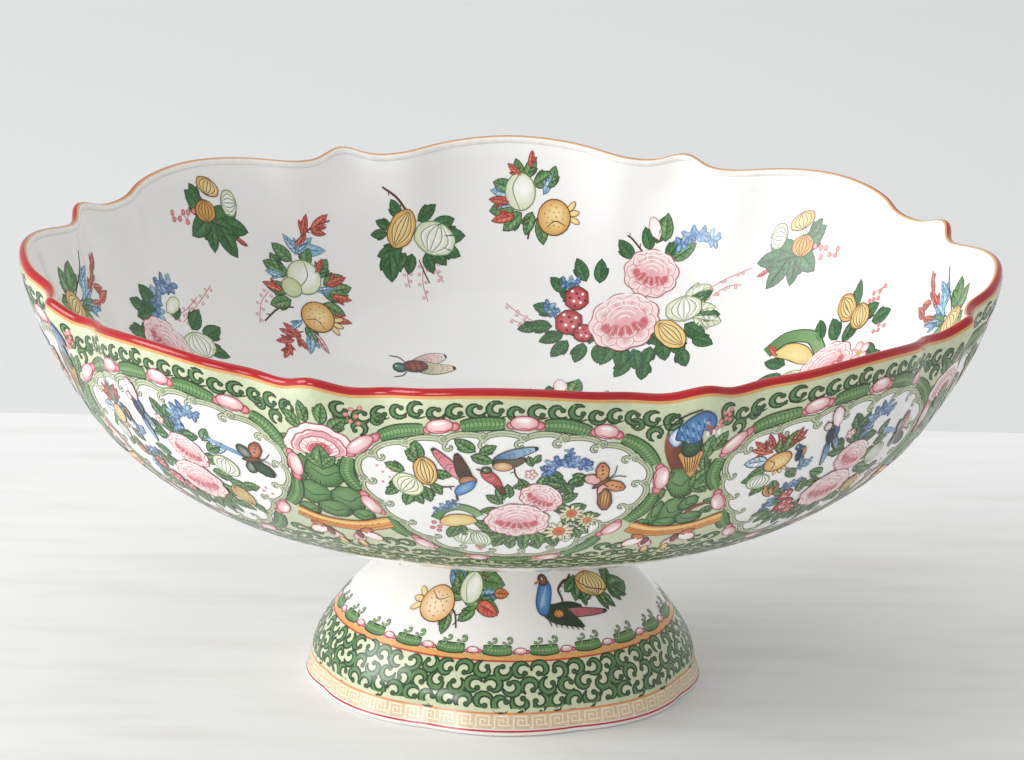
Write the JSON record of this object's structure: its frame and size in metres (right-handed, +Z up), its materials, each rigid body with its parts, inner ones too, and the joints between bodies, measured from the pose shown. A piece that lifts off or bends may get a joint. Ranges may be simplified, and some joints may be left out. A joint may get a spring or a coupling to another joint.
{
  "type": "footed serving bowl",
  "caption": "Footed porcelain serving bowl with a lobed bracket rim, a red enamelled lip, painted flower-and-bird panels and a hollow bell foot",
  "frame": {"origin": "centre of the foot's resting face, at the bottom centre of the bowl's bounding box", "axes": "+Z up through the middle of the bowl; the middle of a lobe faces -Y, and +X is to the right"},
  "size_m": [0.3054, 0.3054, 0.1377],
  "materials": {
    "bowl_glaze": "glossy clear glaze over white porcelain with overglaze enamel painting",
    "rim_enamel": "glossy red overglaze enamel with a fine gold edge",
    "foot_glaze": "glossy clear glaze over white porcelain with enamel bands",
    "slip_joint": "fired porcelain slip under glaze"
  },
  "bodies": {
    "root": {"bowl_body": "bowl_glaze", "rim_enamel": "rim_enamel", "pedestal_foot": "foot_glaze", "slip_joint": "slip_joint"}
  },
  "joints": []
}
